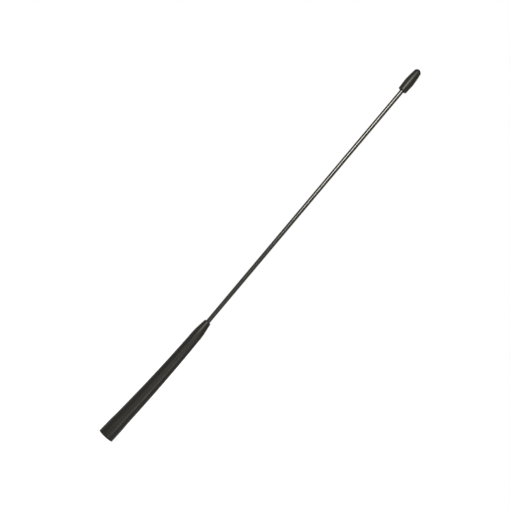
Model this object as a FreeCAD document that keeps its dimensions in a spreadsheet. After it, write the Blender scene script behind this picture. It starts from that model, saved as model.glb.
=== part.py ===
import FreeCAD, Part
import os
import Sketcher

from FreeCAD import Placement, Rotation, Vector

# Roof-mounted radio antenna mast for a car, in millimetres.
# The origin is the centre of the threaded foot at its seat face, and +Z is the thread's axis.
# The mast stands straight at the foot, bends towards -X inside the rubber boot and is straight above it.
# "along" is always a distance from the seat face measured along the bent centreline.

FULL_TURN = 360
QUARTER_TURN = 90
SAME_POINT = 1e-6
SAME_CIRCLE = 1e-4
BEND_SPANS = 6
COIL_STEPS = 12

SIZES = [
    ("overall_length", "406", "seat face to the cap's nose, along the centreline"),
    ("lean_angle", "3.15", "degrees that the mast leans once it leaves the boot's bend"),
    ("straight_foot", "30", "seat face to the start of the bend"),
    ("moulding_gap", "0.05", "between the rubber and the metal that it is moulded over"),
    ("joint_gap", "0.03", "between parts that are glued, crimped or shrunk together"),
    ("winding_gap", "0.06", "between the core and the wire wound on it"),
    ("boot_length", "127.8", "seat face to the boot's rim"),
    ("cone_length", "12", "short cone below the boot's rim"),
    ("foot_dia", "14.1", "boot at the seat face"),
    ("band_height", "13.5", "nearly straight band above the seat face"),
    ("band_dia", "13.7", "boot at the top of the band"),
    ("waist_height", "20", "where the long taper starts"),
    ("waist_dia", "12.92", "boot at the start of the long taper"),
    ("shoulder_dia", "9.25", "boot where the cone starts"),
    ("rim_dia", "5.9", "boot's cone at the rim, before rounding"),
    ("rim_round", "0.8", "rounding of the rim's outer edge"),
    ("foot_chamfer", "0.3", "bevel of the foot's outer edge"),
    ("thread_dia", "5", "major diameter of the M5 x 0.8 thread"),
    ("thread_depth", "9.5", "full thread, from the seat face"),
    ("thread_chamfer", "0.3", "lead-in at the thread's mouth"),
    ("drill_slope", "0.6", "height of the drill's cone for each millimetre of its radius"),
    ("flange_dia", "10", "bush at the seat face"),
    ("flange_height", "2.2", "bush flange"),
    ("key_groove_dia", "8", "groove that keys the rubber"),
    ("key_groove_height", "1.4", "width of the key groove"),
    ("barrel_dia", "9.4", "knurled barrel of the bush"),
    ("bush_height", "13", "seat face to the spring's seat"),
    ("edge_chamfer", "0.3", "small chamfers on the turned parts"),
    ("knurl_count", "18", "straight knurl grooves round the barrel"),
    ("knurl_depth", "0.35", "depth of each knurl groove"),
    ("knurl_width", "0.7", "width of each knurl groove at the surface"),
    ("spring_dia", "8", "outside of the flex spring"),
    ("spring_length", "27", "spring between its two seats"),
    ("spring_turns", "10", "whole turns of the spring"),
    ("spring_wire_height", "2", "flat spring wire, along the mast"),
    ("spring_wire_depth", "0.7", "flat spring wire, across the mast"),
    ("spring_gap", "0.15", "between the spring and its spigots and cavity"),
    ("spring_seat_gap", "0.1", "between the spring and the collar, which leans a little"),
    ("spigot_length", "5", "length of the spigots inside the spring's ends"),
    ("braid_dia", "1.8", "copper braid that bridges the spring"),
    ("braid_socket", "3", "depth of the braid's holes in the two spigots"),
    ("braid_gap", "0.15", "solder between the braid and its holes"),
    ("collar_dia", "7.6", "collar of the rod socket"),
    ("collar_height", "1.6", "collar of the rod socket"),
    ("socket_dia", "5.2", "crimp barrel of the rod socket"),
    ("socket_length", "16.4", "crimp barrel above its collar"),
    ("socket_bore_depth", "13", "how far the core rod enters the socket"),
    ("crimp_depth", "0.2", "depth of the crimp ring"),
    ("crimp_width", "2.2", "width of the crimp ring"),
    ("crimp_height", "5.5", "crimp ring above the bore's floor"),
    ("bead_height", "0.9", "solder bead on the socket's end"),
    ("bead_foot_dia", "5", "solder bead at the socket"),
    ("bead_top_dia", "3.9", "solder bead under the sleeve"),
    ("core_dia", "2.4", "glass-fibre core rod"),
    ("wire_size", "0.32", "copper wire wound on the core"),
    ("coil_lead", "2", "boot's rim to where the wire starts to wind round the core"),
    ("coil_end", "30.6", "bare core above the winding, inside the cap for the most part"),
    ("coil_turns", "10", "whole turns of the winding"),
    ("sleeve_wall", "0.315", "wall of the shrunk sleeve, the rod's skin"),
    ("cap_length", "23.1", "tip cap, rim to nose"),
    ("cap_crown", "3.4", "cap's solid crown above the rod's end"),
    ("cap_base_dia", "7.68", "cap at its rim"),
    ("cap_belly_dia", "8.65", "cap at its widest"),
    ("cap_belly_height", "9.3", "cap's widest place above its rim"),
    ("cap_flank_dia", "7.9", "cap half-way from its widest place to its shoulder"),
    ("cap_shoulder_dia", "6.66", "cap where its round nose starts"),
    ("cap_nose_length", "2.8", "cap's round nose beyond its shoulder"),
    ("cap_mouth_dia", "5.9", "hollow round the rod at the cap's rim"),
    ("cap_mouth_depth", "1.6", "depth of that hollow"),
    ("cap_rim_chamfer", "0.4", "bevel of the cap's rim"),
]

doc = FreeCAD.newDocument("antenna_mast")
sheet = doc.addObject("Spreadsheet::Sheet", "Sizes")
for row, (alias, size, meaning) in enumerate(SIZES, start=1):
    sheet.set(f"A{row}", alias)
    sheet.set(f"B{row}", size)
    sheet.setAlias(f"B{row}", alias)
    sheet.set(f"C{row}", meaning)
doc.recompute()


# Heights along the centreline that several pieces share
BEND_END = "(Sizes.boot_length - Sizes.cone_length)"
KEY_GROOVE_TOP = "(Sizes.flange_height + Sizes.key_groove_height)"
SPIGOT_TOP = "(Sizes.bush_height + Sizes.spigot_length)"
SPRING_TOP = "(Sizes.bush_height + Sizes.spring_length)"
SOCKET_TOP = f"({SPRING_TOP} + Sizes.collar_height + Sizes.socket_length)"
CORE_START = f"({SOCKET_TOP} - Sizes.socket_bore_depth + Sizes.joint_gap)"
SLEEVE_START = f"({SOCKET_TOP} + Sizes.bead_height + Sizes.joint_gap)"
ROD_END = "(Sizes.overall_length - Sizes.cap_crown)"
CAP_START = "(Sizes.overall_length - Sizes.cap_length)"
COIL_START = "(Sizes.boot_length + Sizes.coil_lead)"

# The rod socket is straight, in line with the bend at the middle of the socket's bore
SOCKET_MIDDLE = f"({SOCKET_TOP} - Sizes.socket_bore_depth / 2)"

# Radii that several pieces share
SPIGOT_RADIUS = "(Sizes.spring_dia / 2 - Sizes.spring_wire_depth - Sizes.spring_gap)"
BRAID_HOLE_RADIUS = "(Sizes.braid_dia / 2 + Sizes.braid_gap)"
CORE_HOLE_RADIUS = "(Sizes.core_dia / 2 + Sizes.joint_gap)"
WIRE_INSIDE = "(Sizes.core_dia / 2 + Sizes.winding_gap)"
WIRE_OUTSIDE = f"({WIRE_INSIDE} + Sizes.wire_size)"
WIRE_MIDDLE = f"({WIRE_INSIDE} + Sizes.wire_size / 2)"
SLEEVE_INSIDE = f"({WIRE_OUTSIDE} + Sizes.joint_gap)"
ROD_RADIUS = f"({SLEEVE_INSIDE} + Sizes.sleeve_wall)"

# The bend is one arc from the end of the straight foot to the foot of the boot's cone
BEND_LENGTH = f"({BEND_END} - Sizes.straight_foot)"
BEND_RADIUS = f"({BEND_LENGTH} * 180 / (pi * Sizes.lean_angle))"


def number(expression):
    """Work an expression on the sheet out, as a plain number."""
    found = sheet.evalExpression(str(expression))
    return float(getattr(found, "Value", found))


def station(along):
    """Give the centreline's place and lean, as expressions, at a distance along its bend."""
    lean = f"(({along} - Sizes.straight_foot) / {BEND_LENGTH} * Sizes.lean_angle)"
    across = f"(-{BEND_RADIUS} * (1 - cos({lean})))"
    up = f"(Sizes.straight_foot + {BEND_RADIUS} * sin({lean}))"
    return across, up, lean


def station_above(along):
    """Give the centreline's place and lean, as expressions, on the straight mast above the bend."""
    across, up, lean = station(BEND_END)
    beyond = f"({along} - {BEND_END})"
    return f"({across} - {beyond} * sin({lean}))", f"({up} + {beyond} * cos({lean}))", lean


def new_body(label):
    """Start a piece of the mast in its own body."""
    body = doc.addObject("PartDesign::Body", label)
    body.Label = label
    return body


def bind_placement(owner, prop, base, axis, angle):
    """Tie a placement to the sheet: its base by expressions, and its turn about an axis."""
    start = Vector(*(number(size) for size in base))
    setattr(owner, prop, Placement(start, Rotation(axis, number(angle))))
    for letter, size in zip("xyz", base):
        if size != "0":
            owner.setExpression(f"{prop}.Base.{letter}", size)
    if angle != "0":
        owner.setExpression(f"{prop}.Rotation.Angle", angle)


def stand_on(body, place):
    """Stand a body, built upright at its own origin, at a station of the centreline."""
    across, up, lean = place
    bind_placement(body, "Placement", (across, "0", up), Vector(0, -1, 0), lean)


def new_sketch(body, name, role, base=("0", "0", "0"), axis=Vector(0, 0, 1), angle="0"):
    """Add a sketch on one of a body's origin planes, moved and turned within that plane's frame."""
    plane = next(item for item in body.Origin.OriginFeatures if item.Role == role)
    sketch = body.newObject("Sketcher::SketchObject", name)
    sketch.AttachmentSupport = (plane, [""])
    sketch.MapMode = "FlatFace"
    bind_placement(sketch, "AttachmentOffset", base, axis, angle)
    return sketch


def fix_point(sketch, edge, end, across, up):
    """Hold a sketch point at two expressions, measured from the sketch's origin."""
    place = sketch.getPoint(edge, end)
    for kind, axis, size, now in (
        ("DistanceX", -2, across, place.x),
        ("DistanceY", -1, up, place.y),
    ):
        if size == "0":
            sketch.addConstraint(Sketcher.Constraint("PointOnObject", edge, end, axis))
        else:
            held = sketch.addConstraint(Sketcher.Constraint(kind, -1, 1, edge, end, now))
            sketch.setExpression(f"Constraints[{held}]", size)


def fix_radius(sketch, edge, size):
    """Hold the radius of a sketched circle or arc."""
    held = sketch.addConstraint(Sketcher.Constraint("Radius", edge, number(size)))
    sketch.setExpression(f"Constraints[{held}]", size)


def draw_chain(sketch, corners, bulges=None, closed=True):
    """Join corners, each an (across, up) pair of expressions, by lines, and by arcs where one is asked for.

    bulges gives an arc's radius by the number of the corner that it starts from: the arc swells to the
    right of the way drawn.
    """
    arcs = bulges or {}
    points = [Vector(number(across), number(up), 0) for across, up in corners]
    edges = range(len(points) if closed else len(points) - 1)
    starts = []
    for edge in edges:
        point, following = points[edge], points[(edge + 1) % len(points)]
        if edge in arcs:
            radius = number(arcs[edge])
            chord = following - point
            right = Vector(chord.y, -chord.x, 0).normalize()
            rise = radius - (radius**2 - chord.Length**2 / 4) ** 0.5
            sketch.addGeometry(Part.Arc(point, (point + following) / 2 + right * rise, following))
        else:
            sketch.addGeometry(Part.LineSegment(point, following))
        starts.append(1 if (sketch.getPoint(edge, 1) - point).Length < SAME_POINT else 2)
    for edge in edges[1:]:
        joint = Sketcher.Constraint("Coincident", edge - 1, 3 - starts[edge - 1], edge, starts[edge])
        sketch.addConstraint(joint)
    if closed:
        joint = Sketcher.Constraint("Coincident", edges[-1], 3 - starts[-1], 0, starts[0])
        sketch.addConstraint(joint)
    for edge in edges:
        fix_point(sketch, edge, starts[edge], *corners[edge])
    if not closed:
        fix_point(sketch, edges[-1], 3 - starts[-1], *corners[-1])
    for edge, radius in arcs.items():
        fix_radius(sketch, edge, radius)
    return sketch


def draw_circle(sketch, radius):
    """Draw one circle about the sketch's origin."""
    sketch.addGeometry(Part.Circle(Vector(), Vector(0, 0, 1), number(radius)))
    sketch.addConstraint(Sketcher.Constraint("Coincident", 0, 3, -1, 1))
    fix_radius(sketch, 0, radius)
    return sketch


def turn(body, name, sketch, kind="PartDesign::Revolution"):
    """Turn a sketch all the way round its own upright axis, as solid or, with Groove, as a cut."""
    turned = body.newObject(kind, name)
    turned.Profile = sketch
    turned.ReferenceAxis = (sketch, ["V_Axis"])
    turned.Angle = FULL_TURN
    return turned


def draw_route(body, name, start, end):
    """Draw the centreline from a place in its bend to a place above it."""
    route = new_sketch(body, name, "XZ_Plane")
    places = [station(start), station(BEND_END), station_above(end)]
    corners = [(across, up) for across, up, lean in places]
    return draw_chain(route, corners, bulges={0: BEND_RADIUS}, closed=False)


def section_at(body, name, place):
    """Add a sketch that lies square across the centreline at a station."""
    across, up, lean = place
    return new_sketch(body, name, "XY_Plane", (across, "0", up), Vector(0, -1, 0), lean)


def loft_through(body, name, rings):
    """Join circles, each a (station, radius) pair, into one solid that is straight from ring to ring."""
    circles = []
    for count, (place, radius) in enumerate(rings):
        circles.append(draw_circle(section_at(body, f"{name}_ring_{count}", place), radius))
    loft = body.newObject("PartDesign::AdditiveLoft", name)
    loft.Profile = circles[0]
    loft.Sections = circles[1:]
    loft.Ruled = True
    return loft


def run_along(body, name, section, route, kind="PartDesign::AdditivePipe"):
    """Sweep a section along the whole of a route, as solid or, with SubtractivePipe, as a cut."""
    pipe = body.newObject(kind, name)
    pipe.Profile = section
    pipe.Spine = (route, [f"Edge{count + 1}" for count in range(route.GeometryCount)])
    return pipe


def wind(body, name, corners, pitch, turns, facing=0):
    """Wind a section round the body's own axis: one turn, ruled from step to step, then its copies.

    facing is the direction, in degrees from +X, that the first section looks to.
    """
    sections = []
    for step in range(COIL_STEPS + 1):
        rise = ("0", f"({pitch} * {step} / {COIL_STEPS})", "0")
        angle = str(facing + FULL_TURN * step / COIL_STEPS)
        sketch = new_sketch(body, f"{name}_step_{step}", "XZ_Plane", rise, Vector(0, 1, 0), angle)
        sections.append(draw_chain(sketch, corners))
    first = body.newObject("PartDesign::AdditiveLoft", f"{name}_turn")
    first.Profile = sections[0]
    first.Sections = sections[1:]
    first.Ruled = True
    copies = body.newObject("PartDesign::LinearPattern", f"{name}_turns")
    copies.Originals = [first]
    copies.Direction = (sections[0], ["V_Axis"])
    copies.Mode = "Spacing"
    copies.setExpression("Offset", pitch)
    copies.setExpression("Occurrences", turns)
    body.Tip = copies
    return copies


def round_edge(body, name, centre, radius, size):
    """Round the circular edge of a body's last feature that has this centre, a vector, and this radius."""
    doc.recompute()
    base = body.Tip
    edges = [
        f"Edge{count}"
        for count, edge in enumerate(base.Shape.Edges, start=1)
        if not edge.Degenerated
        and isinstance(edge.Curve, Part.Circle)
        and abs(edge.Curve.Radius - radius) < SAME_CIRCLE
        and (edge.Curve.Center - centre).Length < SAME_CIRCLE
    ]
    rounded = body.newObject("PartDesign::Fillet", name)
    rounded.Base = (base, edges)
    rounded.setExpression("Radius", size)
    return rounded


def make_base_bush():
    """Turned brass bush with the female thread, a key groove, a knurled barrel and the spring's spigot."""
    body = new_body("base_bush")
    flange = "Sizes.flange_dia / 2"
    thread = "Sizes.thread_dia / 2"
    section = new_sketch(body, "bush_section", "XZ_Plane")
    draw_chain(section, [
        (f"({thread} + Sizes.thread_chamfer)", "0"),
        (f"({flange} - Sizes.edge_chamfer)", "0"),
        (flange, "Sizes.edge_chamfer"),
        (flange, "Sizes.flange_height"),
        ("Sizes.key_groove_dia / 2", "Sizes.flange_height"),
        ("Sizes.key_groove_dia / 2", KEY_GROOVE_TOP),
        ("Sizes.barrel_dia / 2", KEY_GROOVE_TOP),
        ("Sizes.barrel_dia / 2", "Sizes.bush_height"),
        (SPIGOT_RADIUS, "Sizes.bush_height"),
        (SPIGOT_RADIUS, f"({SPIGOT_TOP} - Sizes.edge_chamfer)"),
        (f"({SPIGOT_RADIUS} - Sizes.edge_chamfer)", SPIGOT_TOP),
        (BRAID_HOLE_RADIUS, SPIGOT_TOP),
        (BRAID_HOLE_RADIUS, f"({SPIGOT_TOP} - Sizes.braid_socket)"),
        ("0", f"({SPIGOT_TOP} - Sizes.braid_socket)"),
        ("0", f"(Sizes.thread_depth + Sizes.drill_slope * {thread})"),
        (thread, "Sizes.thread_depth"),
        (thread, "Sizes.thread_chamfer"),
    ])
    turn(body, "bush_turning", section)
    notch = new_sketch(body, "knurl_notch", "XY_Plane", base=("0", "0", "Sizes.bush_height"))
    barrel = "Sizes.barrel_dia / 2"
    draw_chain(notch, [
        (f"({barrel} - Sizes.knurl_depth)", "0"),
        (f"({barrel} + Sizes.knurl_depth)", "-Sizes.knurl_width"),
        (f"({barrel} + Sizes.knurl_depth)", "Sizes.knurl_width"),
    ])
    groove = body.newObject("PartDesign::Pocket", "knurl_groove")
    groove.Profile = notch
    groove.setExpression("Length", f"Sizes.bush_height - {KEY_GROOVE_TOP}")
    knurl = body.newObject("PartDesign::PolarPattern", "knurl")
    knurl.Originals = [groove]
    knurl.Axis = (section, ["V_Axis"])
    knurl.Angle = FULL_TURN
    knurl.setExpression("Occurrences", "Sizes.knurl_count")
    body.Tip = knurl
    return body


def make_flex_spring():
    """Flat-wire spring that lets the mast give way, between the bush and the rod socket."""
    body = new_body("flex_spring")
    stand_on(body, ("0", "Sizes.bush_height", "0"))
    outer = "Sizes.spring_dia / 2"
    inner = f"({outer} - Sizes.spring_wire_depth)"
    height = "Sizes.spring_wire_height"
    corners = [(inner, "0"), (outer, "0"), (outer, height), (inner, height)]
    pitch = f"((Sizes.spring_length - Sizes.spring_seat_gap - {height}) / Sizes.spring_turns)"
    wind(body, "spring", corners, pitch, "Sizes.spring_turns")
    return body


def make_shunt_braid():
    """Copper braid that bridges the spring, soldered into the two spigots."""
    body = new_body("shunt_braid")
    foot = f"({SPIGOT_TOP} - Sizes.braid_socket + Sizes.joint_gap)"
    top = f"({SPRING_TOP} - Sizes.spigot_length + Sizes.braid_socket - Sizes.joint_gap)"
    section = new_sketch(body, "braid_section", "XY_Plane", base=("0", "0", foot))
    draw_circle(section, "Sizes.braid_dia / 2")
    braid = body.newObject("PartDesign::Pad", "braid")
    braid.Profile = section
    braid.setExpression("Length", f"{top} - {foot}")
    return body


def make_rod_socket():
    """Crimp socket: a spigot in the spring, a collar on its end and a barrel that holds the core rod."""
    body = new_body("rod_socket")
    stand_on(body, station(SOCKET_MIDDLE))
    top = "(Sizes.socket_bore_depth / 2)"
    floor = f"({top} - Sizes.socket_bore_depth)"
    collar_top = f"({top} - Sizes.socket_length)"
    seat = f"({collar_top} - Sizes.collar_height)"
    foot = f"({seat} - Sizes.spigot_length)"
    barrel = "Sizes.socket_dia / 2"
    crimped = f"({barrel} - Sizes.crimp_depth)"
    crimp = f"({floor} + Sizes.crimp_height)"
    section = new_sketch(body, "socket_section", "XZ_Plane")
    draw_chain(section, [
        ("0", f"({foot} + Sizes.braid_socket)"),
        (BRAID_HOLE_RADIUS, f"({foot} + Sizes.braid_socket)"),
        (BRAID_HOLE_RADIUS, foot),
        (f"({SPIGOT_RADIUS} - Sizes.edge_chamfer)", foot),
        (SPIGOT_RADIUS, f"({foot} + Sizes.edge_chamfer)"),
        (SPIGOT_RADIUS, seat),
        ("Sizes.collar_dia / 2", seat),
        ("Sizes.collar_dia / 2", collar_top),
        (barrel, collar_top),
        (barrel, crimp),
        (crimped, crimp),
        (crimped, f"({crimp} + Sizes.crimp_width)"),
        (barrel, f"({crimp} + Sizes.crimp_width)"),
        (barrel, top),
        (CORE_HOLE_RADIUS, top),
        (CORE_HOLE_RADIUS, floor),
        ("0", floor),
    ])
    turn(body, "socket_turning", section)
    return body


def boot_radius(along):
    """Give the boot's radius, as an expression, on its long taper."""
    share = f"(({along} - Sizes.waist_height) / ({BEND_END} - Sizes.waist_height))"
    return f"((Sizes.waist_dia + (Sizes.shoulder_dia - Sizes.waist_dia) * {share}) / 2)"


def make_boot():
    """Moulded rubber boot: a flared foot, a long bent taper and a short cone, hollow for what it covers."""
    body = new_body("boot")
    rings = [
        (("0", "0", "0"), "(Sizes.foot_dia / 2 - Sizes.foot_chamfer)"),
        (("0", "Sizes.foot_chamfer", "0"), "Sizes.foot_dia / 2"),
        (("0", "Sizes.band_height", "0"), "Sizes.band_dia / 2"),
        (("0", "Sizes.waist_height", "0"), "Sizes.waist_dia / 2"),
    ]
    for span in range(1, BEND_SPANS + 1):
        along = f"(Sizes.straight_foot + {BEND_LENGTH} * {span} / {BEND_SPANS})"
        rings.append((station(along), boot_radius(along)))
    loft_through(body, "boot_taper", rings)

    across, up, lean = station(BEND_END)
    cone = new_sketch(body, "cone_section", "XZ_Plane", (across, up, "0"), Vector(0, 0, 1), lean)
    draw_chain(cone, [
        ("0", "0"),
        ("Sizes.shoulder_dia / 2", "0"),
        ("Sizes.rim_dia / 2", "Sizes.cone_length"),
        ("0", "Sizes.cone_length"),
    ])
    turn(body, "boot_cone", cone)
    rim_across, rim_up = station_above("Sizes.boot_length")[:2]
    rim = Vector(number(rim_across), 0, number(rim_up))
    round_edge(body, "rim_rounding", rim, number("Sizes.rim_dia / 2"), "Sizes.rim_round")

    bush_room = new_sketch(body, "bush_room", "XZ_Plane")
    flange = "(Sizes.flange_dia / 2 + Sizes.moulding_gap)"
    key = "(Sizes.key_groove_dia / 2 + Sizes.moulding_gap)"
    barrel = "(Sizes.barrel_dia / 2 + Sizes.moulding_gap)"
    spring = "(Sizes.spring_dia / 2 + Sizes.spring_gap)"
    draw_chain(bush_room, [
        ("0", "0"),
        (flange, "0"),
        (flange, "Sizes.flange_height"),
        (key, "Sizes.flange_height"),
        (key, KEY_GROOVE_TOP),
        (barrel, KEY_GROOVE_TOP),
        (barrel, "Sizes.bush_height"),
        (spring, "Sizes.bush_height"),
        (spring, SPRING_TOP),
        ("0", SPRING_TOP),
    ])
    turn(body, "bush_cavity", bush_room, "PartDesign::Groove")

    across, up, lean = station(SOCKET_MIDDLE)
    socket_room = new_sketch(body, "socket_room", "XZ_Plane", (across, up, "0"), Vector(0, 0, 1), lean)
    top = "(Sizes.socket_bore_depth / 2)"
    collar_top = f"({top} - Sizes.socket_length)"
    collar = "(Sizes.collar_dia / 2 + Sizes.moulding_gap)"
    barrel = "(Sizes.socket_dia / 2 + Sizes.moulding_gap)"
    draw_chain(socket_room, [
        ("0", f"({collar_top} - 2 * Sizes.collar_height)"),
        (collar, f"({collar_top} - 2 * Sizes.collar_height)"),
        (collar, collar_top),
        (barrel, collar_top),
        (barrel, f"({top} + Sizes.bead_height)"),
        ("0", f"({top} + Sizes.bead_height)"),
    ])
    turn(body, "socket_cavity", socket_room, "PartDesign::Groove")

    route = draw_route(body, "rod_route", SOCKET_TOP, "(Sizes.boot_length + Sizes.cone_length)")
    bore = section_at(body, "rod_bore", station(SOCKET_TOP))
    draw_circle(bore, f"({ROD_RADIUS} + Sizes.moulding_gap)")
    run_along(body, "rod_cavity", bore, route, "PartDesign::SubtractivePipe")
    return body


def make_core_rod():
    """Glass-fibre rod from the socket's bore to the crown of the tip cap."""
    body = new_body("core_rod")
    route = draw_route(body, "core_route", CORE_START, ROD_END)
    section = draw_circle(section_at(body, "core_section", station(CORE_START)), "Sizes.core_dia / 2")
    run_along(body, "core", section, route)
    return body


def make_radiator_wire():
    """Copper wire: straight along the core's front through the bend, then wound up the core.

    It is drawn upright from where the winding starts, so the straight mast and then the bend lie below.
    """
    body = new_body("radiator_wire")
    stand_on(body, station_above(COIL_START))
    pitch = f"(({ROD_END} - Sizes.coil_end - {COIL_START}) / Sizes.coil_turns)"
    slope = f"({pitch} / (2 * pi * {WIRE_MIDDLE}))"
    height = f"(Sizes.wire_size * sqrt(1 + {slope} ^ 2))"
    corners = [(WIRE_INSIDE, "0"), (WIRE_OUTSIDE, "0"), (WIRE_OUTSIDE, height), (WIRE_INSIDE, height)]
    wind(body, "winding", corners, pitch, "Sizes.coil_turns", facing=-QUARTER_TURN)

    bend_end = f"({BEND_END} - {COIL_START})"
    turned = f"(({BEND_END} - {SLEEVE_START}) / {BEND_LENGTH} * Sizes.lean_angle)"
    across = f"(-{BEND_RADIUS} * (1 - cos({turned})))"
    up = f"({bend_end} - {BEND_RADIUS} * sin({turned}))"
    route = new_sketch(body, "lead_route", "XZ_Plane", base=("0", "0", WIRE_MIDDLE))
    corners = [(across, up), ("0", bend_end), ("0", height)]
    draw_chain(route, corners, bulges={0: BEND_RADIUS}, closed=False)
    foot = (across, f"(-{WIRE_MIDDLE})", up)
    lead = new_sketch(body, "lead_section", "XY_Plane", foot, Vector(0, 1, 0), turned)
    right = "(Sizes.wire_size / 2)"
    left = f"(-{right})"
    draw_chain(lead, [(left, left), (right, left), (right, right), (left, right)])
    run_along(body, "lead", lead, route)
    return body


def make_wire_solder():
    """Bead that joins the wire to the socket's end, round the core rod."""
    body = new_body("wire_solder")
    stand_on(body, station(SOCKET_MIDDLE))
    seat = "(Sizes.socket_bore_depth / 2)"
    section = new_sketch(body, "bead_section", "XZ_Plane")
    draw_chain(section, [
        (CORE_HOLE_RADIUS, seat),
        ("Sizes.bead_foot_dia / 2", seat),
        ("Sizes.bead_top_dia / 2", f"({seat} + Sizes.bead_height)"),
        (CORE_HOLE_RADIUS, f"({seat} + Sizes.bead_height)"),
    ])
    turn(body, "bead", section)
    return body


def make_rod_sleeve():
    """Sleeve shrunk over the wire, which gives the rod its smooth black skin."""
    body = new_body("rod_sleeve")
    route = draw_route(body, "sleeve_route", SLEEVE_START, ROD_END)
    outer = draw_circle(section_at(body, "sleeve_outside", station(SLEEVE_START)), ROD_RADIUS)
    run_along(body, "sleeve", outer, route)
    inner = draw_circle(section_at(body, "sleeve_inside", station(SLEEVE_START)), SLEEVE_INSIDE)
    run_along(body, "sleeve_bore", inner, route, "PartDesign::SubtractivePipe")
    return body


def make_tip_cap():
    """Bullet-shaped cap over the rod's end, hollowed round the rod at its rim."""
    body = new_body("tip_cap")
    stand_on(body, station_above(CAP_START))
    base = "Sizes.cap_base_dia / 2"
    shoulder = "Sizes.cap_shoulder_dia / 2"
    shoulder_height = "(Sizes.cap_length - Sizes.cap_nose_length)"
    flank_height = f"((Sizes.cap_belly_height + {shoulder_height}) / 2)"
    loft_through(body, "cap_side", [
        (("0", "0", "0"), f"({base} - Sizes.cap_rim_chamfer)"),
        (("0", "Sizes.cap_rim_chamfer", "0"), base),
        (("0", "Sizes.cap_belly_height", "0"), "Sizes.cap_belly_dia / 2"),
        (("0", flank_height, "0"), "Sizes.cap_flank_dia / 2"),
        (("0", shoulder_height, "0"), shoulder),
    ])

    nose = new_sketch(body, "nose_section", "XZ_Plane")
    nose_radius = f"((({shoulder}) ^ 2 + Sizes.cap_nose_length ^ 2) / (2 * Sizes.cap_nose_length))"
    corners = [("0", "Sizes.cap_length"), ("0", shoulder_height), (shoulder, shoulder_height)]
    draw_chain(nose, corners, bulges={2: nose_radius})
    turn(body, "cap_nose", nose)

    hollow = new_sketch(body, "cap_hollow", "XZ_Plane")
    bore = f"({ROD_RADIUS} + Sizes.joint_gap)"
    bore_floor = "(Sizes.cap_length - Sizes.cap_crown)"
    draw_chain(hollow, [
        ("0", "0"),
        ("Sizes.cap_mouth_dia / 2", "0"),
        (bore, "Sizes.cap_mouth_depth"),
        (bore, bore_floor),
        ("0", bore_floor),
    ])
    turn(body, "cap_bore", hollow, "PartDesign::Groove")
    return body


PIECES = (
    make_base_bush,
    make_flex_spring,
    make_shunt_braid,
    make_rod_socket,
    make_boot,
    make_core_rod,
    make_radiator_wire,
    make_wire_solder,
    make_rod_sleeve,
    make_tip_cap,
)
bodies = [make_piece() for make_piece in PIECES]
doc.recompute()

os.makedirs("parts", exist_ok=True)
for item in doc.Objects:
    if "Invalid" in item.State or "Error" in item.State:
        raise RuntimeError(f"{item.Name} failed: {item.State}")
for body in bodies:
    shape = body.Shape
    if shape.isNull() or not shape.isValid() or len(shape.Solids) != 1:
        raise RuntimeError(f"{body.Label} isn't one valid solid")
for body in bodies:
    body.Shape.exportStep(f"parts/{body.Label}.step")
    print(f"{body.Label}: {body.Shape.Volume:.1f} cubic mm")
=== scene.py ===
import math

import bmesh
import bpy
from mathutils import Matrix, Vector


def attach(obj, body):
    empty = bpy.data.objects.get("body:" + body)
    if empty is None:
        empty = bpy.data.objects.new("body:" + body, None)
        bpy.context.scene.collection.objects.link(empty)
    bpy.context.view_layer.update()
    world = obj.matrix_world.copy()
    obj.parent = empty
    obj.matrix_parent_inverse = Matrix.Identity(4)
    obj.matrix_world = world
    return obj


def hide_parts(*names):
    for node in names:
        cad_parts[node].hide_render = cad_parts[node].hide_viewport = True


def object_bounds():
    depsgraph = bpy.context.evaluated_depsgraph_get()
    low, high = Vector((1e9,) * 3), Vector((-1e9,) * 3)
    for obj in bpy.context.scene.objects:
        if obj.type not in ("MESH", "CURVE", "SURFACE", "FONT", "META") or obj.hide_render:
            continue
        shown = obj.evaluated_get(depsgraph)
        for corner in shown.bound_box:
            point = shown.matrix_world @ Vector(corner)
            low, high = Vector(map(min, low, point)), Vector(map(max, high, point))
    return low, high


# Radio antenna mast for a car roof, stood upright on its threaded foot.
# It is a straight black rod in a rubber boot that bends it back by a few degrees, with a cap on its tip.
# Sizes are in millimetres, and those times MM in metres. A height is measured along the bent centreline.

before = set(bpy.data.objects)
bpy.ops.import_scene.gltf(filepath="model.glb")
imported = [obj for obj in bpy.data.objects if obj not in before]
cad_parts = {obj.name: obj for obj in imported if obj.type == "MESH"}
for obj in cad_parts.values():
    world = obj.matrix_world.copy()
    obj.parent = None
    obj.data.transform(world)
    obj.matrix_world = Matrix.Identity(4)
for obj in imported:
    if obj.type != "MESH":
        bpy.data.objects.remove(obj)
cad_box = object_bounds()


# Rubber boot
# The boot is moulded in one shot of black rubber over the brass bush, the spring and the end of the rod.
# It is widest at the foot, tapers through the bend, and closes round the rod with a short cone.

MM = 0.001
FOOT_RADIUS = 7.05
BAND_RADIUS = 6.85
BAND_TOP = 13.5
WAIST_RADIUS = 6.46
WAIST_HEIGHT = 20
SHOULDER_RADIUS = 4.625
SHOULDER_HEIGHT = 115.8
RIM_RADIUS = 2.95
RIM_HEIGHT = 127.8

# The room that the rubber leaves for each thing inside it
FLANGE_ROOM = 5.05
FLANGE_TOP = 2.2
KEY_ROOM = 4.05
KEY_TOP = 3.6
BARREL_ROOM = 4.75
BARREL_TOP = 13
SPRING_ROOM = 4.15
SPRING_TOP = 40
COLLAR_ROOM = 3.85
COLLAR_TOP = 41.6
SOCKET_ROOM = 2.65
SOCKET_TOP = 58.9
ROD_ROOM = 1.975

# The centreline runs straight up, then back along an arc, and goes on straight with this lean
STRAIGHT_FOOT = 30 * MM
BEND_END = SHOULDER_HEIGHT * MM
LEAN = math.radians(3.15)
BEND_RADIUS = (BEND_END - STRAIGHT_FOOT) / LEAN

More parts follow.
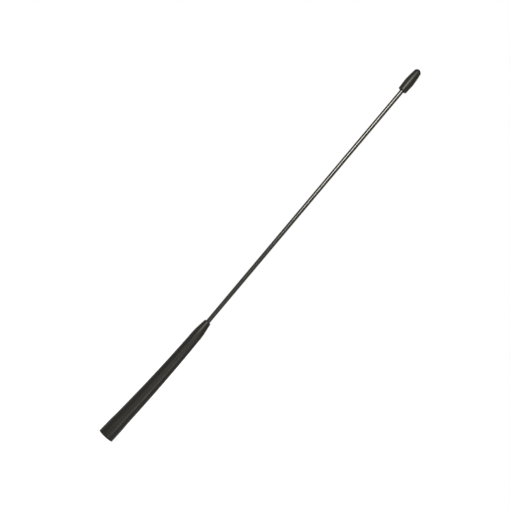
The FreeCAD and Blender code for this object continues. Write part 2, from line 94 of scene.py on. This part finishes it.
ROUND_STEPS = 96
SAME_PLACE = 0.001 * MM
SHARP_EDGE = math.radians(35)

RUBBER_DARK = (0.003, 0.0029, 0.0024, 1)
RUBBER_LIGHT = (0.008, 0.0076, 0.0064, 1)
WARM_GLOSS = (1, 0.98, 0.9, 1)


def shaped(name, bm):
    """Turn a finished bmesh into a smooth piece of the mast that rides on its only body."""
    bmesh.ops.remove_doubles(bm, verts=bm.verts, dist=SAME_PLACE)
    bmesh.ops.recalc_face_normals(bm, faces=bm.faces)
    for face in bm.faces:
        face.smooth = True
    for edge in bm.edges:
        edge.smooth = not edge.is_manifold or edge.calc_face_angle() < SHARP_EDGE
    mesh = bpy.data.meshes.new(name)
    bm.to_mesh(mesh)
    bm.free()
    piece = bpy.data.objects.new(name, mesh)
    bpy.context.scene.collection.objects.link(piece)
    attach(piece, "root")
    return piece


def outline(bm, corners, closed=True):
    """Draw half a lengthwise section, from (radius, height) corners in millimetres, and give its vertices."""
    verts = [bm.verts.new((radius * MM, 0, height * MM)) for radius, height in corners]
    for first, second in zip(verts, verts[1:]):
        bm.edges.new((first, second))
    if closed:
        bm.edges.new((verts[-1], verts[0]))
    return verts


def round_off(bm, verts, radius, segments=4):
    """Round some corners of a section before it is turned."""
    bmesh.ops.bevel(
        bm, geom=verts, offset=radius * MM, affect="VERTICES", segments=segments, profile=0.5, material=-1
    )


def cut_long_edges(bm, longest):
    """Divide the section's long edges, so that the turned shape can follow the bend."""
    for edge in list(bm.edges):
        cuts = int(edge.calc_length() / (longest * MM))
        if cuts:
            bmesh.ops.subdivide_edges(bm, edges=[edge], cuts=cuts)


def turn_round(bm, steps=ROUND_STEPS):
    """Turn the section all the way round the upright axis."""
    geometry = bm.verts[:] + bm.edges[:]
    bmesh.ops.spin(
        bm, geom=geometry, cent=(0, 0, 0), axis=(0, 0, 1), angle=math.tau, steps=steps, use_merge=True
    )


def lean_with_the_mast(bm):
    """Carry a shape that was made upright along the mast's bent centreline."""
    for vert in bm.verts:
        turned = min(max((vert.co.z - STRAIGHT_FOOT) / BEND_RADIUS, 0), LEAN)
        beyond = vert.co.z - STRAIGHT_FOOT - BEND_RADIUS * turned
        back = BEND_RADIUS * (math.cos(turned) - 1)
        up = STRAIGHT_FOOT + BEND_RADIUS * math.sin(turned)
        lean = Matrix.Rotation(-turned, 3, "Y")
        vert.co = Vector((back, 0, up)) + lean @ Vector((vert.co.x, vert.co.y, beyond))


class Signal:
    """One output of a shader node, with the arithmetic that the finishes use."""

    def __init__(self, network, socket):
        self.network = network
        self.socket = socket

    def worked(self, operation, first, second):
        """Add the Math node of one operation."""
        return self.network.add("ShaderNodeMath", {"operation": operation}, {0: first, 1: second})

    def __add__(self, other):
        return self.worked("ADD", self, other)

    def __sub__(self, other):
        return self.worked("SUBTRACT", self, other)

    def __rsub__(self, other):
        return self.worked("SUBTRACT", other, self)

    def __mul__(self, other):
        return self.worked("MULTIPLY", self, other)

    __radd__ = __add__
    __rmul__ = __mul__


class Network:
    """The shader nodes of a material or of the world."""

    def __init__(self, owner):
        owner.use_nodes = True
        self.nodes = owner.node_tree.nodes
        self.links = owner.node_tree.links

    def connect(self, socket, value):
        """Give a socket a signal, or else a plain value."""
        if isinstance(value, Signal):
            self.links.new(value.socket, socket)
        else:
            socket.default_value = value

    def add(self, kind, settings=None, inputs=None, output=0):
        """Add any node: its settings first, then the values or links of its sockets."""
        node = self.nodes.new(kind)
        for name, value in (settings or {}).items():
            setattr(node, name, value)
        for socket, value in (inputs or {}).items():
            self.connect(node.inputs[socket], value)
        return Signal(self, node.outputs[output])

    def seen_as_background(self):
        """Give 1 to what is seen, directly, in a reflection or through glass, and 0 to what lights."""
        return sum(
            self.add("ShaderNodeLightPath", output=ray)
            for ray in ("Is Camera Ray", "Is Glossy Ray", "Is Transmission Ray")
        )


class Finish(Network):
    """A material on the piece's own coordinates. Its sockets are named as the shader names them."""

    def __init__(self, name, **channels):
        self.material = bpy.data.materials.new(name)
        super().__init__(self.material)
        self.shader = self.nodes["Principled BSDF"]
        self.place = self.add("ShaderNodeTexCoord", output="Object")
        self.show(**channels)

    def show(self, **channels):
        """Set sockets of the shader, each to a plain value or a signal."""
        for socket, value in channels.items():
            self.connect(self.shader.inputs[socket.replace("_", " ")], value)

    def grain(self, size, detail=3.0, stretch=(1, 1, 1)):
        """Noise whose lumps are about size millimetres across, longer where stretch is under 1."""
        spread = self.add("ShaderNodeMapping", {}, {"Vector": self.place, "Scale": stretch})
        texture = {"Vector": spread, "Scale": 1 / (size * MM), "Detail": detail}
        return self.add("ShaderNodeTexNoise", {}, texture)

    def step(self, signal, low, high):
        """Spread the part of a signal between low and high over 0 to 1."""
        ranges = {"Value": signal, "From Min": low, "From Max": high}
        return self.add("ShaderNodeMapRange", {"interpolation_type": "SMOOTHSTEP"}, ranges)

    def mix(self, share, first, second):
        """Mix two colours. A Mix node's sockets share their names, so the ones for colours go by number."""
        return self.add("ShaderNodeMix", {"data_type": "RGBA"}, {0: share, 6: first, 7: second}, output=2)

    def bump(self, height, depth):
        """Raise the surface by up to depth millimetres where height is 1."""
        relief = self.add("ShaderNodeBump", {}, {"Height": height, "Distance": depth * MM, "Strength": 1.0})
        self.show(Normal=relief)


def clad(piece, finish):
    """Give a piece its one material."""
    piece.data.materials.clear()
    piece.data.materials.append(finish.material)


boot_mesh = bmesh.new()
boot_section = outline(boot_mesh, [
    (FLANGE_ROOM, 0),
    (FOOT_RADIUS, 0),
    (BAND_RADIUS, BAND_TOP),
    (WAIST_RADIUS, WAIST_HEIGHT),
    (SHOULDER_RADIUS, SHOULDER_HEIGHT),
    (RIM_RADIUS, RIM_HEIGHT),
    (ROD_ROOM, RIM_HEIGHT),
    (ROD_ROOM, SOCKET_TOP),
    (SOCKET_ROOM, SOCKET_TOP),
    (SOCKET_ROOM, COLLAR_TOP),
    (COLLAR_ROOM, COLLAR_TOP),
    (COLLAR_ROOM, SPRING_TOP),
    (SPRING_ROOM, SPRING_TOP),
    (SPRING_ROOM, BARREL_TOP),
    (BARREL_ROOM, BARREL_TOP),
    (BARREL_ROOM, KEY_TOP),
    (KEY_ROOM, KEY_TOP),
    (KEY_ROOM, FLANGE_TOP),
    (FLANGE_ROOM, FLANGE_TOP),
])
foot_edge = boot_section[1:2]
taper_corners = boot_section[2:5]
rim_edge = boot_section[5:6]
rod_mouth = boot_section[6:7]
round_off(boot_mesh, foot_edge, radius=0.35)
round_off(boot_mesh, taper_corners, radius=3, segments=8)
round_off(boot_mesh, rim_edge, radius=0.75, segments=8)
round_off(boot_mesh, rod_mouth, radius=0.15, segments=3)
cut_long_edges(boot_mesh, longest=3)
turn_round(boot_mesh)
lean_with_the_mast(boot_mesh)
boot = shaped("rubber_boot", boot_mesh)
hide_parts("boot")

rubber = Finish("moulded_rubber", Specular_IOR_Level=0.16, Specular_Tint=WARM_GLOSS, IOR=1.45)
rubber_cloud = rubber.grain(size=6, detail=4)
rubber_grain = rubber.grain(size=0.35, detail=2)
rubber_pits = rubber.step(rubber.grain(size=0.8, detail=1), low=0.62, high=0.74)
rubber.show(
    Base_Color=rubber.mix(rubber_cloud * 0.7 + rubber_grain * 0.3, RUBBER_DARK, RUBBER_LIGHT),
    Roughness=0.34 + rubber_cloud * 0.1 + rubber_pits * 0.1,
)
rubber.bump(rubber_grain + rubber_cloud * 0.5 - rubber_pits * 0.4, depth=0.03)
clad(boot, rubber)


# Rod
# A glass-fibre core is wound with the copper wire, and a black plastic sleeve is shrunk over both.
# The sleeve is the rod's smooth skin, from the solder bead in the boot to the crown of the cap.

ROD_RADIUS = 1.925
SLEEVE_BORE = 1.61
SLEEVE_START = 58.93
ROD_END = 402.6
SLEEVE_STEPS = 64
SATIN_DARK = (0.003, 0.0029, 0.0024, 1)
SATIN_LIGHT = (0.007, 0.0067, 0.0056, 1)

sleeve_mesh = bmesh.new()
sleeve_section = outline(sleeve_mesh, [
    (SLEEVE_BORE, SLEEVE_START),
    (ROD_RADIUS, SLEEVE_START),
    (ROD_RADIUS, ROD_END),
    (SLEEVE_BORE, ROD_END),
])
outer_edges = sleeve_section[1:3]
round_off(sleeve_mesh, outer_edges, radius=0.08, segments=3)
cut_long_edges(sleeve_mesh, longest=4)
turn_round(sleeve_mesh, SLEEVE_STEPS)
lean_with_the_mast(sleeve_mesh)
sleeve = shaped("shrunk_sleeve", sleeve_mesh)
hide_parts("rod_sleeve")

satin = Finish("satin_sleeve", Specular_IOR_Level=0.41, Specular_Tint=WARM_GLOSS, IOR=1.5)
satin_streaks = satin.grain(size=0.5, detail=2, stretch=(1, 1, 0.02))
satin_cloud = satin.grain(size=9, detail=3, stretch=(1, 1, 0.3))
satin.show(
    Base_Color=satin.mix(satin_cloud, SATIN_DARK, SATIN_LIGHT),
    Roughness=0.13 + satin_cloud * 0.05 + satin_streaks * 0.02,
)
satin.bump(satin_streaks, depth=0.002)
clad(sleeve, satin)


# Tip cap
# A moulded plastic cap is pushed over the rod's end. It is widest below its middle and has a round nose.
# Its rim is hollowed round the rod, so a dark ring shows between the two from below.

CAP_START = 382.9
CAP_LENGTH = 23.1
CAP_END = CAP_START + CAP_LENGTH
CAP_BORE = 1.955
CAP_BORE_END = CAP_START + 19.7
MOUTH_RADIUS = 2.95
MOUTH_END = CAP_START + 1.6
CAP_RIM_RADIUS = 3.84
BELLY = (4.325, CAP_START + 9.3)
FLANK = (3.95, CAP_START + 14.8)
NOSE_FOOT_RADIUS = 3.33
NOSE_LENGTH = 2.8
NOSE_RADIUS = (NOSE_FOOT_RADIUS**2 + NOSE_LENGTH**2) / (2 * NOSE_LENGTH)
NOSE_STEPS = 16
MOULDED_DARK = (0.003, 0.0029, 0.0024, 1)
MOULDED_LIGHT = (0.007, 0.0067, 0.0056, 1)

cap_mesh = bmesh.new()
cap_section = outline(cap_mesh, [
    (0, CAP_BORE_END),
    (CAP_BORE, CAP_BORE_END),
    (CAP_BORE, MOUTH_END),
    (MOUTH_RADIUS, CAP_START),
    (CAP_RIM_RADIUS, CAP_START),
    BELLY,
    FLANK,
    (NOSE_FOOT_RADIUS, CAP_END - NOSE_LENGTH),
], closed=False)
mouth_edge = cap_section[3:4]
cap_rim_edge = cap_section[4:5]
side_corners = cap_section[5:7]
nose_foot = cap_section[7:]
bmesh.ops.spin(
    cap_mesh,
    geom=nose_foot,
    cent=(0, 0, (CAP_END - NOSE_RADIUS) * MM),
    axis=(0, -1, 0),
    angle=math.acos(1 - NOSE_LENGTH / NOSE_RADIUS),
    steps=NOSE_STEPS,
)
round_off(cap_mesh, mouth_edge, radius=0.12, segments=3)
round_off(cap_mesh, cap_rim_edge, radius=0.45, segments=6)
round_off(cap_mesh, side_corners, radius=1.2, segments=6)
cut_long_edges(cap_mesh, longest=1.5)
turn_round(cap_mesh)
lean_with_the_mast(cap_mesh)
cap = shaped("moulded_tip_cap", cap_mesh)
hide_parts("tip_cap")

moulded = Finish("moulded_cap", Specular_IOR_Level=0.18, Specular_Tint=WARM_GLOSS, IOR=1.48)
moulded_cloud = moulded.grain(size=4, detail=3)
moulded_grain = moulded.grain(size=0.25, detail=2)
moulded.show(
    Base_Color=moulded.mix(moulded_cloud, MOULDED_DARK, MOULDED_LIGHT),
    Roughness=0.36 + moulded_cloud * 0.08,
)
moulded.bump(moulded_grain + moulded_cloud, depth=0.004)
clad(cap, moulded)


# Threaded bush
# The foot's brass bush is turned from bar, and its M5 x 0.8 thread is tapped from the seat face: a helix of
# ridges on the wall of its bore. The rod's socket, inside the boot, is of the same brass.

THREAD_RADIUS = 2.5
THREAD_PITCH = 0.8
THREAD_TURNS = 10
THREAD_STEPS = 24

# How far up the first ridge is, how far a ridge stands out and sinks in, and half its width at foot and crest
FIRST_RIDGE = 0.55
RIDGE_HEIGHT = 0.4
RIDGE_SUNK = 0.02
RIDGE_FOOT = 0.32
RIDGE_CREST = 0.08

BRASS_DARK = (0.62, 0.44, 0.17, 1)
BRASS_LIGHT = (0.75, 0.57, 0.27, 1)

brass = Finish("turned_brass", Metallic=1.0)
brass_turning = brass.grain(size=0.3, detail=2, stretch=(0.1, 0.1, 1))
brass_cloud = brass.grain(size=3, detail=3)
brass.show(
    Base_Color=brass.mix(brass_cloud, BRASS_DARK, BRASS_LIGHT),
    Roughness=0.28 + brass_cloud * 0.12,
)
brass.bump(brass_turning, depth=0.01)
clad(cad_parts["base_bush"], brass)
clad(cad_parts["rod_socket"], brass)

thread_mesh = bmesh.new()
outline(thread_mesh, [
    (THREAD_RADIUS + RIDGE_SUNK, FIRST_RIDGE - RIDGE_FOOT),
    (THREAD_RADIUS - RIDGE_HEIGHT, FIRST_RIDGE - RIDGE_CREST),
    (THREAD_RADIUS - RIDGE_HEIGHT, FIRST_RIDGE + RIDGE_CREST),
    (THREAD_RADIUS + RIDGE_SUNK, FIRST_RIDGE + RIDGE_FOOT),
])
bmesh.ops.contextual_create(thread_mesh, geom=thread_mesh.verts[:])
swept = bmesh.ops.spin(
    thread_mesh,
    geom=thread_mesh.edges[:],
    cent=(0, 0, 0),
    axis=(0, 0, 1),
    dvec=(0, 0, THREAD_PITCH * MM / THREAD_STEPS),
    angle=math.tau * THREAD_TURNS,
    steps=THREAD_STEPS * THREAD_TURNS,
)
last_edges = [item for item in swept["geom_last"] if isinstance(item, bmesh.types.BMEdge)]
bmesh.ops.contextual_create(thread_mesh, geom=last_edges)
thread = shaped("tapped_thread", thread_mesh)
clad(thread, brass)


# Spring, braid, wire, solder and core
# These stay inside the boot and the rod. The spring lets the mast give way, and the braid bridges it. The
# copper wire is the antenna itself, soldered to the socket and wound round the glass-fibre core.

STEEL_DARK = (0.32, 0.32, 0.31, 1)
STEEL_LIGHT = (0.5, 0.49, 0.47, 1)
COPPER_DARK = (0.62, 0.28, 0.16, 1)
COPPER_LIGHT = (0.8, 0.45, 0.3, 1)
TIN_DARK = (0.5, 0.5, 0.49, 1)
TIN_LIGHT = (0.68, 0.68, 0.66, 1)
FIBRE_DARK = (0.5, 0.46, 0.33, 1)
FIBRE_LIGHT = (0.7, 0.66, 0.53, 1)


def bare_metal(name, cloud_size, dark, light, polish, dullness):
    """Make a metal whose colour and roughness vary in clouds, rougher by dullness where it is light."""
    metal = Finish(name, Metallic=1.0)
    cloud = metal.grain(cloud_size)
    metal.show(Base_Color=metal.mix(cloud, dark, light), Roughness=polish + cloud * dullness)
    return metal


spring_steel = bare_metal("spring_steel", 1.5, STEEL_DARK, STEEL_LIGHT, polish=0.3, dullness=0.2)
copper = bare_metal("bare_copper", 1, COPPER_DARK, COPPER_LIGHT, polish=0.25, dullness=0.15)
tin = bare_metal("tin_solder", 0.8, TIN_DARK, TIN_LIGHT, polish=0.3, dullness=0.25)
clad(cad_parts["flex_spring"], spring_steel)
clad(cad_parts["shunt_braid"], copper)
clad(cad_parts["radiator_wire"], copper)
clad(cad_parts["wire_solder"], tin)

fibre = Finish("glass_fibre", IOR=1.52)
fibre_strands = fibre.grain(size=0.3, detail=3, stretch=(1, 1, 0.01))
fibre.show(
    Base_Color=fibre.mix(fibre_strands, FIBRE_DARK, FIBRE_LIGHT),
    Roughness=0.35 + fibre_strands * 0.2,
)
fibre.bump(fibre_strands, depth=0.02)
clad(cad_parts["core_rod"], fibre)


# Floor, light and camera
# The mast stands on a white floor in a white surround. The camera looks at it side on and is rolled,
# so that the mast runs from the lower left of the picture to the upper right.

FLOOR_REACH = 3
FLOOR_GAP = 0.1 * MM
PAPER_GREY = (0.32, 0.32, 0.32, 1)

# The floor's white near the foot and far off, and where those are, in metres
WHITE_NEAR = (0.72, 0.72, 0.72, 1)
WHITE_FAR = (0.97, 0.97, 0.97, 1)
NEAR = 0.3
FAR = 1.2

SURROUND_LIGHT = 0.2
LAMP_COLOUR = (1, 0.985, 0.94)
CAMERA_AIM = Vector((-12.56, 0, 195.5)) * MM
CAMERA_DISTANCE = 1050.7 * MM
CAMERA_BELOW = math.radians(2.5)
CAMERA_ROLL = math.radians(43.22)
LENS = 88.2


def place_at(name, data, place, aim, roll=0):
    """Put a lamp or camera at a place, looking at its aim, with up turned clockwise in its view by roll."""
    item = bpy.data.objects.new(name, data)
    bpy.context.scene.collection.objects.link(item)
    back = (place - aim).normalized()
    right = Vector((0, 0, 1)).cross(back).normalized()
    axes = Matrix((right, back.cross(right), back)).transposed()
    item.matrix_world = Matrix.Translation(place) @ axes.to_4x4() @ Matrix.Rotation(roll, 4, "Z")
    return item


def lamp(name, place, aim, size, watts):
    """Add a soft box, a little warmer than the white surround. Its places and size are in metres."""
    data = bpy.data.lights.new(name, "AREA")
    data.shape = "RECTANGLE"
    data.size, data.size_y = size
    data.energy = watts
    data.color = LAMP_COLOUR
    return place_at(name, data, Vector(place), Vector(aim))


floor_mesh = bmesh.new()
bmesh.ops.create_grid(floor_mesh, x_segments=1, y_segments=1, size=FLOOR_REACH)
bmesh.ops.translate(floor_mesh, verts=floor_mesh.verts, vec=(0, 0, cad_box[0][2] - FLOOR_GAP))
floor_data = bpy.data.meshes.new("floor")
floor_mesh.to_mesh(floor_data)
floor_mesh.free()
floor = bpy.data.objects.new("floor", floor_data)
bpy.context.scene.collection.objects.link(floor)

paper = Finish("white_paper", Base_Color=PAPER_GREY, Roughness=0.9)
from_foot = paper.add("ShaderNodeVectorMath", {"operation": "LENGTH"}, {0: paper.place}, output=1)
paper.show(
    Emission_Color=paper.mix(paper.step(from_foot, low=NEAR, high=FAR), WHITE_NEAR, WHITE_FAR),
    Emission_Strength=paper.seen_as_background(),
)
clad(floor, paper)

world = bpy.data.worlds.new("studio")
studio = Network(world)
surround = studio.nodes["Background"]
surround.inputs["Color"].default_value = (1, 1, 1, 1)
brightness = SURROUND_LIGHT + studio.seen_as_background() * (1 - SURROUND_LIGHT)
studio.connect(surround.inputs["Strength"], brightness)
bpy.context.scene.world = world

lamp("front_box", place=(-0.26, -1.0, 0.56), aim=(0, 0, 0.36), size=(0.36, 0.46), watts=23.5)
lamp("rear_box", place=(0.35, 0.9, 1.0), aim=(0, 0, 0.2), size=(0.5, 0.5), watts=9)
lamp("low_box", place=(0.33, -0.42, 0.035), aim=(0, 0, 0.05), size=(0.2, 0.07), watts=1.3)

camera_data = bpy.data.cameras.new("camera")
camera_data.lens = LENS
camera_place = CAMERA_AIM + CAMERA_DISTANCE * Vector((0, -math.cos(CAMERA_BELOW), -math.sin(CAMERA_BELOW)))
bpy.context.scene.camera = place_at("camera", camera_data, camera_place, CAMERA_AIM, CAMERA_ROLL)
bpy.context.scene.view_settings.view_transform = "Standard"
